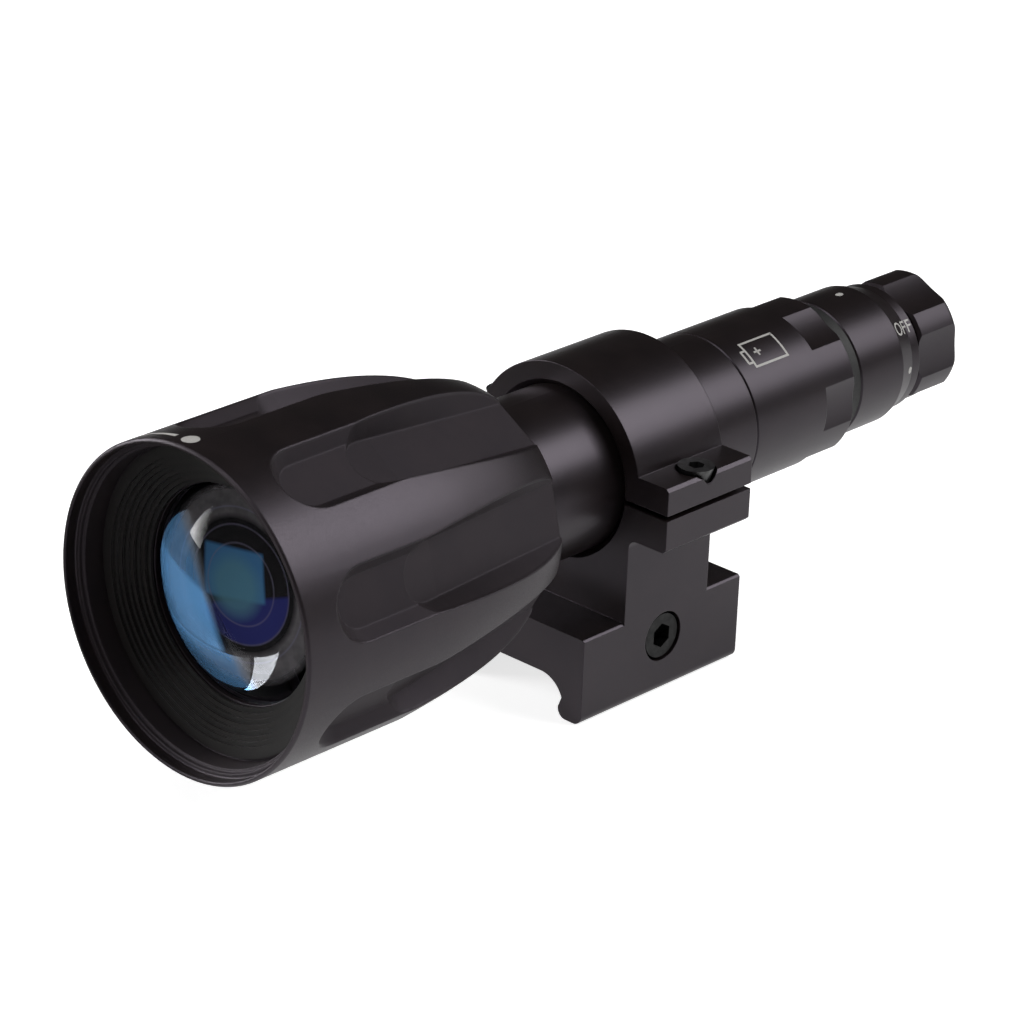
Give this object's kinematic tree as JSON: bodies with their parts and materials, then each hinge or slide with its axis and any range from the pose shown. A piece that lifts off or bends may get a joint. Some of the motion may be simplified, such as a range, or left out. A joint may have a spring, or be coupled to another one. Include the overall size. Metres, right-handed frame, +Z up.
{
  "type": "infrared illuminator",
  "caption": "Infrared torch for a night-vision sight, with a fluted focusing head, a clamping ring on a rail foot, and a switch knob at the tail.",
  "frame": {"origin": "middle of the rail seat's roof, under the middle of the clamping ring", "axes": "+Y along the tube from the lens to the tail, so that the light leaves towards -Y; +Z up from the rail; +X towards the foot's fixed jaw"},
  "size_m": [0.058, 0.1844, 0.0689],
  "materials": {
    "head_black": "satin black anodised",
    "tube_black": "satin black anodised",
    "knob_black": "satin black anodised",
    "mount_black": "satin black anodised",
    "baffle_black": "matte black anodised",
    "cell_black": "satin black anodised",
    "coated_glass": "polished, blue anti-reflection coating",
    "clear_glass": "polished",
    "seal_rubber": "matte",
    "sink_aluminium": "bare machined",
    "matte_white": "white ink and solder mask",
    "board_green": "green solder mask",
    "emitter_ceramic": "ceramic package under a clear cover",
    "wire_red": "insulated wire",
    "contact_brass": "plated",
    "spring_steel": "plated wire",
    "screw_black": "black oxide",
    "pin_steel": "ground",
    "battery_wrap": "shrink wrap",
    "switch_plastic": "moulded"
  },
  "bodies": {
    "tube": {"main_tube": "tube_black", "heat_sink": "sink_aluminium", "emitter_board": "matte_white", "emitter": "emitter_ceramic", "board_screws": "pin_steel", "emitter_leads": "wire_red", "condenser_holder": "baffle_black", "condenser_lens": "clear_glass", "driver_board": "board_green", "front_contact": "contact_brass", "battery": "battery_wrap", "battery_tube": "tube_black", "joint_seal": "seal_rubber", "mount_base": "mount_black", "ring_cap": "mount_black", "ring_screws": "screw_black", "clamp_washer": "pin_steel"},
    "lens_carriage": {"lens": "coated_glass", "lens_cell": "cell_black", "lens_retainer": "cell_black", "lens_seal": "seal_rubber", "key_pins": "pin_steel"},
    "head": {"head_shell": "head_black", "baffle_ring": "baffle_black", "neck_seal": "seal_rubber"},
    "tail": {"tail_housing": "tube_black", "tail_band": "seal_rubber", "spigot_seal": "seal_rubber", "shaft_seal": "seal_rubber", "tail_board": "board_green", "tail_spring": "spring_steel", "rotary_switch": "switch_plastic"},
    "power_knob": {"power_knob": "knob_black", "switch_shaft": "pin_steel", "knob_screw": "pin_steel"},
    "clamp_screw": {"clamp_screw": "screw_black"},
    "clamp_jaw": {"clamp_jaw": "mount_black", "guide_pins": "pin_steel"}
  },
  "joints": [
    {"name": "focus_travel", "type": "slide", "parent": "tube", "child": "lens_carriage", "axis": [0, 1, 0], "range_m": [0, 0.008]},
    {"name": "focus_turn", "type": "hinge", "parent": "lens_carriage", "child": "head", "pos_m": [0, -0.07, 0.0326], "axis": [0, 1, 0], "range_deg": [0, 300]},
    {"name": "tail_cap_slide", "type": "slide", "parent": "tube", "child": "tail", "axis": [0, 1, 0], "range_m": [0, 0.03]},
    {"name": "power_turn", "type": "hinge", "parent": "tail", "child": "power_knob", "pos_m": [0, 0.08, 0.0326], "axis": [0, 1, 0], "range_deg": [0, 300]},
    {"name": "clamp_screw_turn", "type": "hinge", "parent": "tube", "child": "clamp_screw", "pos_m": [0, -0.0004, 0.0034], "axis": [-1, 0, 0], "range_deg": [0, 1290]},
    {"name": "clamp_jaw_slide", "type": "slide", "parent": "tube", "child": "clamp_jaw", "axis": [1, 0, 0], "range_m": [0, 0.0028]}
  ],
  "couplings": [
    {"joint": "focus_travel", "follows": "focus_turn", "m_per_rad": 0.001527},
    {"joint": "clamp_screw_turn", "follows": "clamp_jaw_slide", "rad_per_m": 7854}
  ]
}
